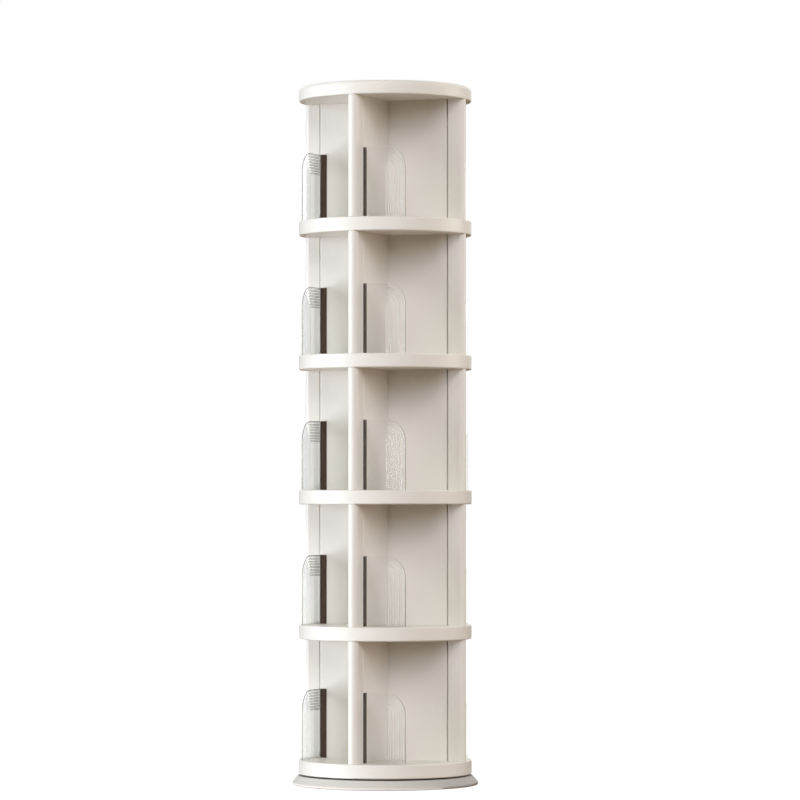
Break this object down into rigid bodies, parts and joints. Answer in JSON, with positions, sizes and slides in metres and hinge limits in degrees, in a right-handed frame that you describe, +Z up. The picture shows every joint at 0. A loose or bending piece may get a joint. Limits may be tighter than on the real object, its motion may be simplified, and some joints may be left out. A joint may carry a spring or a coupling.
{
  "type": "revolving bookcase",
  "caption": "Round revolving bookcase: stacked trays on a ball-bearing turntable, split by upright dividers into open quarters with clear ridged bookends.",
  "frame": {"origin": "middle of the circle that the rubber feet stand on, at floor level", "axes": "+Z up along the turning axis; the front divider runs along -Y and the right divider along +X at rest"},
  "size_m": [0.431, 0.431, 1.6135],
  "materials": {
    "tray_plastic": "satin moulded, warm white",
    "divider_plastic": "satin extruded, warm white",
    "base_plastic": "satin moulded, light grey white",
    "clear_acrylic": "clear moulded with raised ridges",
    "grip_rubber": "soft dark brown strip",
    "foot_rubber": "soft black",
    "bearing_steel": "zinc plated pressed steel",
    "ball_steel": "polished steel balls",
    "screw_steel": "zinc plated",
    "pipe_steel": "drawn steel",
    "cage_plastic": "dark moulded",
    "peg_wood": "plain beech"
  },
  "bodies": {
    "base": {"base_shell": "base_plastic", "base_feet": "foot_rubber", "bearing_lower_race": "bearing_steel", "bearing_lower_screws": "screw_steel"},
    "ball_cage": {"bearing_cage": "cage_plastic", "bearing_balls": "ball_steel"},
    "carousel": {"bearing_upper_race": "bearing_steel", "underside_screws": "screw_steel", "centre_pipe": "pipe_steel", "pipe_flange": "pipe_steel", "pipe_top_nut": "pipe_steel", "locating_pegs": "peg_wood", "soffit_panels": "tray_plastic", "bookend_grips": "grip_rubber", "top_plate": "tray_plastic", "tray_1": "tray_plastic", "tray_2": "tray_plastic", "tray_3": "tray_plastic", "tray_4": "tray_plastic", "tray_5": "tray_plastic", "divider_front_1": "divider_plastic", "divider_right_1": "divider_plastic", "divider_back_1": "divider_plastic", "divider_left_1": "divider_plastic", "divider_front_2": "divider_plastic", "divider_right_2": "divider_plastic", "divider_back_2": "divider_plastic", "divider_left_2": "divider_plastic", "divider_front_3": "divider_plastic", "divider_right_3": "divider_plastic", "divider_back_3": "divider_plastic", "divider_left_3": "divider_plastic", "divider_front_4": "divider_plastic", "divider_right_4": "divider_plastic", "divider_back_4": "divider_plastic", "divider_left_4": "divider_plastic", "divider_front_5": "divider_plastic", "divider_right_5": "divider_plastic", "divider_back_5": "divider_plastic", "divider_left_5": "divider_plastic", "bookend_front_1": "clear_acrylic", "bookend_right_1": "clear_acrylic", "bookend_back_1": "clear_acrylic", "bookend_left_1": "clear_acrylic", "bookend_front_2": "clear_acrylic", "bookend_right_2": "clear_acrylic", "bookend_back_2": "clear_acrylic", "bookend_left_2": "clear_acrylic", "bookend_front_3": "clear_acrylic", "bookend_right_3": "clear_acrylic", "bookend_back_3": "clear_acrylic", "bookend_left_3": "clear_acrylic", "bookend_front_4": "clear_acrylic", "bookend_right_4": "clear_acrylic", "bookend_back_4": "clear_acrylic", "bookend_left_4": "clear_acrylic", "bookend_front_5": "clear_acrylic", "bookend_right_5": "clear_acrylic", "bookend_back_5": "clear_acrylic", "bookend_left_5": "clear_acrylic"}
  },
  "joints": [
    {"name": "turntable_spin", "type": "hinge", "parent": "base", "child": "carousel", "pos_m": [0, 0, 0.021], "axis": [0, 0, 1], "continuous": true},
    {"name": "cage_roll", "type": "hinge", "parent": "base", "child": "ball_cage", "pos_m": [0, 0, 0.021], "axis": [0, 0, 1], "continuous": true}
  ],
  "couplings": [
    {"joint": "cage_roll", "follows": "turntable_spin", "ratio": 0.5}
  ]
}
